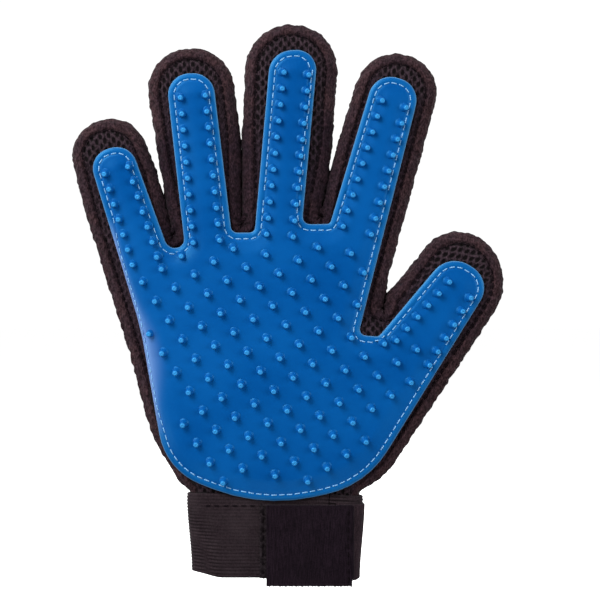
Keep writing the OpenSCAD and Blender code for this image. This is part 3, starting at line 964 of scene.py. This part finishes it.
def swept_band(path, out, z, offset):
    """A closed band along a path: (z, offset) is its section's outline, and its two ends are closed."""
    closed = 0.02
    along = [(p, o, 1.0) for p, o in zip(path, out)]
    middle = (offset.max() + offset.min()) / 2
    rows = []
    for p, o, share in [(path[0], out[0], closed)] + along + [(path[-1], out[-1], closed)]:
        far = middle + (offset - middle) * share
        rows.append(np.column_stack([p[0] + o[0] * far, p[1] + o[1] * far, z]))
    points = np.array(rows)
    return points.reshape(-1, 3), tube_faces(len(rows), len(z))[:, ::-1]


def strip(bottom, top, rows, faces, corners):
    """A flat strip's section, as heights and offsets: its outer and its inner face, each with its corners."""
    z = np.linspace(bottom, top, rows)
    offset = np.repeat(np.array(faces, float), rows)
    offset[[0, rows - 1, rows, -1]] = np.repeat(corners, 2)
    return np.concatenate([z, z[::-1]]), offset


def settle_cuff(points):
    """The cuff narrows towards its mouth, and its lower edge curves, as it does round a wrist."""
    x, z = points[:, 0].copy(), points[:, 2].copy()
    low = smooth(1 - z / CUFF_Z)
    points[:, 0] = x * (1 + 0.026 - 0.055 * smooth(1 - z / (CUFF_Z * 0.95)))
    points[:, 2] = z + low * (0.4 + 2.4 * smooth((-x - 22) / 13) - 1.4 * smooth((x - 22) / 10))
    points[:, 2] -= 1.2 * smooth((x - 15) / 20) * (1 - low)
    return points


def whole(name, shape, material, body, nodes):
    """One piece that rides on one body."""
    points, faces = shape[:2]
    obj = make(name, points, faces, material, corner_normals(points, faces))
    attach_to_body(obj, body)
    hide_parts(*nodes)


def wrist_band():
    low, high = box_mm("wrist_band")
    thick = 1.5
    z = np.linspace(low[2], high[2] + 0.6, 24 * 7)
    ribs = 0.17 * np.sin(2 * math.pi * z / RIB_PITCH)
    edge = np.sqrt(np.clip((z - z[0]) / 0.8, 0, 1) * np.clip((z[-1] - z) / 0.8, 0, 1))
    inner_z = np.linspace(z[-1], z[0], 30)
    section_z = np.concatenate([z, inner_z])
    offset = np.concatenate([-0.55 + (0.55 + ribs) * edge, np.full(30, -thick)])
    path, out = cuff_path(high[0], high[1], *BAND_JOIN)
    points, faces = swept_band(path, out, section_z, offset)
    whole("wrist_elastic", (settle_cuff(points), faces), ELASTIC, "palm", ["wrist_band"])


def cuff_binding():
    low, high = box_mm("cuff_binding")
    path, out = cuff_path(high[0], high[1], 0.0, 0.5)
    points, faces = swept_band(path, out, *strip(low[2], high[2] - 4, 14, (0, -0.9), (0, -0.9)))
    whole("cuff_binding_tape", (points, faces), TAPE, "palm", ["cuff_binding"])


def slab(low, high, step, edge=0.35, pinked=0.0, bow=None):
    """A flat tape between two corners with rounded edges; pinked cuts teeth of that depth in its foot."""
    def rounded(a, b, n):
        inset = np.array([0, 0.15, 0.45, 1.0]) * edge
        return np.concatenate([a + inset, np.linspace(a + edge * 1.5, b - edge * 1.5, n), (b - inset)[::-1]])

    across = rounded(low[0], high[0], int((high[0] - low[0]) / step))
    up = rounded(low[2], high[2], int((high[2] - low[2]) / step))
    x, z = np.meshgrid(across, up, indexing="ij")
    rim = np.minimum.reduce([x - low[0], high[0] - x, z - low[2], high[2] - z])
    half = (high[1] - low[1]) / 2 * (0.25 + 0.75 * np.sqrt(1 - (1 - np.clip(rim / edge, 0, 1)) ** 2))
    middle = (high[1] + low[1]) / 2 + (bow(x, z) if bow is not None else 0)
    tooth = np.abs((x / 1.35 + 0.17 * np.sin(x * 1.9)) % 1 - 0.5) * 2
    z = z + pinked * tooth * smooth(1 - (z - low[2]) / 2)
    sheets = [np.stack([x, middle + sign * half, z], -1).reshape(-1, 3) for sign in (-1, 1)]
    n, m = x.shape
    i, j = np.meshgrid(np.arange(n - 1), np.arange(m - 1), indexing="ij")
    a = (i * m + j).ravel()
    front = np.stack([a, a + m, a + m + 1, a + 1], 1)
    ring = np.concatenate([
        np.arange(m), np.arange(1, n) * m + m - 1, (n - 1) * m + np.arange(m - 2, -1, -1),
        np.arange(n - 2, 0, -1) * m,
    ])
    after, total = np.roll(ring, -1), n * m
    side = np.stack([ring, after, after + total, ring + total], 1)
    return np.concatenate(sheets), np.concatenate([front, (front + total)[:, ::-1], side])


def hooks(low, high, pitch=1.3):
    """Rows of small bent stalks standing on the hook tape's inner face."""
    xs, zs = (np.arange(low[k] + 1.2, high[k] - 1.0, pitch) for k in (0, 2))
    t = np.linspace(0, 1, 6)
    shapes = []
    for x in xs:
        for z in zs:
            line = np.stack([x + 0.32 * t ** 3, high[1] - 0.55 + 0.55 * np.sin(1.9 * t), z + 0 * t], 1)
            angle = 2 * math.pi * np.arange(5) / 5
            r = (0.13 * np.sqrt(1.02 - t ** 6))[:, None]
            ring = np.stack([r * np.cos(angle), 0 * r * angle, r * np.sin(angle)], -1)
            shapes.append(((line[:, None] + ring).reshape(-1, 3), tube_faces(6, 5)))
    return gathered(shapes)


def tab_bow(x, z):
    """The closed tab's slight arch over the cuff."""
    return -0.35 * smooth((x + 3.5) / 8) * smooth((33 - x) / 8) + 0.12 * np.sin(z / 9)


def closure():
    low, high = box_mm("closure_tab")
    tab = slab(low, high, 0.34, 0.3, 0.55, tab_bow)
    whole("closure_webbing", tab, WEBBING, "strap", ["closure_tab"])
    low, high = box_mm("hook_patch")
    backing = slab(low, high - (0, 0.5, 0), 0.8, 0.2, 0, tab_bow)
    whole("hook_tape_backing", backing, HOOK, "strap", ["hook_patch"])
    whole("hook_tape_hooks", hooks(low, high), HOOK, "strap", ["hook_patch"])
    low, high = box_mm("loop_patch")
    pile = waves(31, 1.5)
    points, faces = slab(low, high, 0.45, 0.4, 0.5)
    points[:, 1] -= 0.09 * pile(points) + 0.05
    whole("loop_tape_pile", (points, faces), LOOP, "palm", ["loop_patch"])
    low, high = box_mm("strap_anchor")
    anchor = slab(low, high, 0.45, 0.4, 0.4)
    whole("anchor_webbing", anchor, WEBBING, "palm", ["strap_anchor"])
    wrapped_webbing(high[2])
    closure_fold()


def wrapped_webbing(anchor_top):
    """The anchor's webbing carried round the cuff's thumb side, over the elastic, to its back."""
    band = box_mm("wrist_band")[1]
    path, out = cuff_path(band[0], band[1], *BAND_JOIN)
    chosen = (path[:, 0] > 24) | ((out[:, 1] > 0.5) & (path[:, 0] > 20))
    section = strip(0.6, anchor_top + 1.2, 70, (0.75, -0.35), (0.45, 0))
    points, faces = swept_band(path[chosen], out[chosen], *section)
    whole("webbing_wrap", (settle_cuff(points), faces), FOLDED, "palm", ["strap_anchor"])


def closure_fold():
    """The webbing's turn from the anchor over to the tab."""
    tab_low, tab_high = box_mm("closure_tab")
    anchor_low, anchor_high = box_mm("strap_anchor")
    outer_y, inner_y = tab_low[1] + 0.15, anchor_high[1] - 0.7
    middle, radius = (outer_y + inner_y) / 2, (inner_y - outer_y) / 2
    turn = np.linspace(-math.pi / 2, math.pi / 2, 16)
    way = np.column_stack([np.cos(turn), np.sin(turn)])
    path = np.column_stack([tab_high[0] - 0.3 + 0.85 * radius * way[:, 0], middle + radius * way[:, 1]])
    lead_in = np.array([[tab_high[0] - 1.5, outer_y], [tab_high[0] - 0.9, outer_y]])
    lead_out = np.array([[tab_high[0] - 1.2, inner_y], [tab_high[0] - 2.4, inner_y]])
    path = np.vstack([lead_in, path, lead_out])
    out = np.vstack([[[0, -1]] * 2, way, [[0, 1]] * 2]).astype(float)
    section = strip(anchor_low[2] + 0.3, anchor_high[2] - 0.1, 60, (0, -0.9), (-0.3, -0.6))
    points, faces = swept_band(path, out, *section)
    obj = make("closure_turn", points, faces, WEBBING, corner_normals(points, faces))
    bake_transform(obj)
    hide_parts("closure_tab")


def dark_rows():
    """The black stitching on the cuff, the loop tape and the tab."""
    on_band = box_mm("wrist_band")[1][1] + 0.1
    for node, body in (("band_stitches", "palm"), ("loop_patch_stitches", "palm"), ("tab_stitches", "strap")):
        shapes = []
        for solid in separate_solids(node):
            behind = solid[:, 1].mean() > 0
            if node == "band_stitches":
                depth = on_band if behind else -on_band
            else:
                depth = solid[:, 1].max() - 0.05
            bow = 1 if node == "tab_stitches" else 0
            points, faces = stitch(solid, lambda p: depth + bow * tab_bow(p[:, 0], p[:, 1]), radius=0.24)
            if behind:
                points[:, 1] = 2 * on_band - points[:, 1]
                faces = faces[:, ::-1]
            if node == "band_stitches":
                points = settle_cuff(points)
            shapes.append((points, faces))
        piece = node.replace("stitches", "thread")
        whole(piece, gathered(shapes), BLACK_THREAD, body, [node])


def lining():
    """The glove's inner face behind the cuff, seen only through its mouth."""
    top = CUFF_Z + 45

    def field(x, y, z, d, _):
        return np.maximum(shell_field(x, y, z, d) + 1.7, np.maximum(SHELL_FOOT - z, z - top))

    points, faces = extract(1.5, (-12.0, 12.0), SHELL_FOOT - 3, field, coarse=3)
    keep = points[faces].mean(1)[:, 2] > SHELL_FOOT + 0.8
    used, index = np.unique(faces[keep][:, ::-1], return_inverse=True)
    shape = points[used], index.reshape(-1, 4)
    whole("lining", shape, TAPE, "palm", [])


# ---- The object ----

knitted_shell()
lining()
pad_sheets()
nubs()
stitches("pad_thread", "pad_stitches", pad_front, BLUE_THREAD, "blue_thread")
stitches("seam_thread", "edge_seam", groove_floor, BLACK_THREAD, "black_thread", radius=0.25)
wrist_band()
cuff_binding()
closure()
dark_rows()


# ---- Camera, light and floor ----

def camera():
    """Square on to the palm, with the whole glove inside a view 252 mm wide at its middle."""
    distance, view_width, sensor = 0.85, 0.252, 36.0
    middle_x, middle_z = 0.0105, 0.1163
    data = bpy.data.cameras.new("camera")
    data.sensor_width, data.lens = sensor, sensor * distance / view_width
    data.clip_start, data.clip_end = 0.01, 50
    obj = add_object("camera", data)
    obj.location = (middle_x, -distance, middle_z)
    obj.rotation_euler = (math.pi / 2, 0, 0)
    bpy.context.scene.camera = obj


def area_light(name, place, size, power):
    """A softbox that faces the middle of the glove."""
    data = bpy.data.lights.new(name, "AREA")
    data.size, data.energy = size, power
    obj = add_object(name, data)
    obj.location = place
    way = np.array(GLOVE_MIDDLE) - np.array(obj.location)
    x, y, z = way / np.linalg.norm(way)
    obj.rotation_euler = (math.acos(-z), 0, math.atan2(-x, y))


def floor():
    """A plain white floor that the camera sees and that isn't mirrored in the glove."""
    s = Shader("pale_floor", roughness=1.0, specular=0.0, Emission_Color=(1, 1, 1), Emission_Strength=1.0)
    at = s.add("TexCoord").outputs["Object"]
    s.finish(s.mix(s.noise(at, 3.0), (0.90, 0.90, 0.90), (0.92, 0.92, 0.92)))
    z, far = FLOOR_Z, 12000.0
    corners = np.array([(-far, -far, z), (far, -far, z), (far, far, z), (-far, far, z)])
    mesh = bpy.data.meshes.new("floor")
    mesh.from_pydata((corners * MM).tolist(), [], [(0, 1, 2, 3)])
    mesh.materials.append(s.material)
    obj = add_object("floor", mesh)
    obj.visible_glossy = obj.visible_diffuse = obj.visible_shadow = False


def surroundings():
    """White all round for the camera; the softboxes alone light the glove."""
    world = bpy.data.worlds.new("studio")
    world.use_nodes = True
    background = world.node_tree.nodes["Background"].inputs
    background["Color"].default_value, background["Strength"].default_value = (1, 1, 1, 1), 1.05
    bpy.context.scene.world = world
    world.cycles_visibility.glossy = world.cycles_visibility.diffuse = False
    bpy.context.scene.view_settings.view_transform = "Standard"


FLOOR_Z = -60.0
GLOVE_MIDDLE = (0, 0, 0.12)
SOFTBOXES = {      # place, size and power
    "key": ((-0.68, -0.72, 0.86), 0.7, 17),
    "left": ((-1.1, -0.45, 0.10), 0.9, 7),
    "right": ((1.05, -0.65, 0.25), 0.9, 10),
    "low": ((0.1, -0.75, -0.75), 0.9, 3.5),
    "top": ((0.1, 0.0, 1.3), 0.8, 5),
    "back_left": ((-0.8, 0.9, 0.6), 0.9, 12),
    "back_right": ((0.9, 0.9, 0.3), 0.9, 8),
}
camera()
floor()
surroundings()
for light, (place, size, power) in SOFTBOXES.items():
    area_light(light, place, size, power)
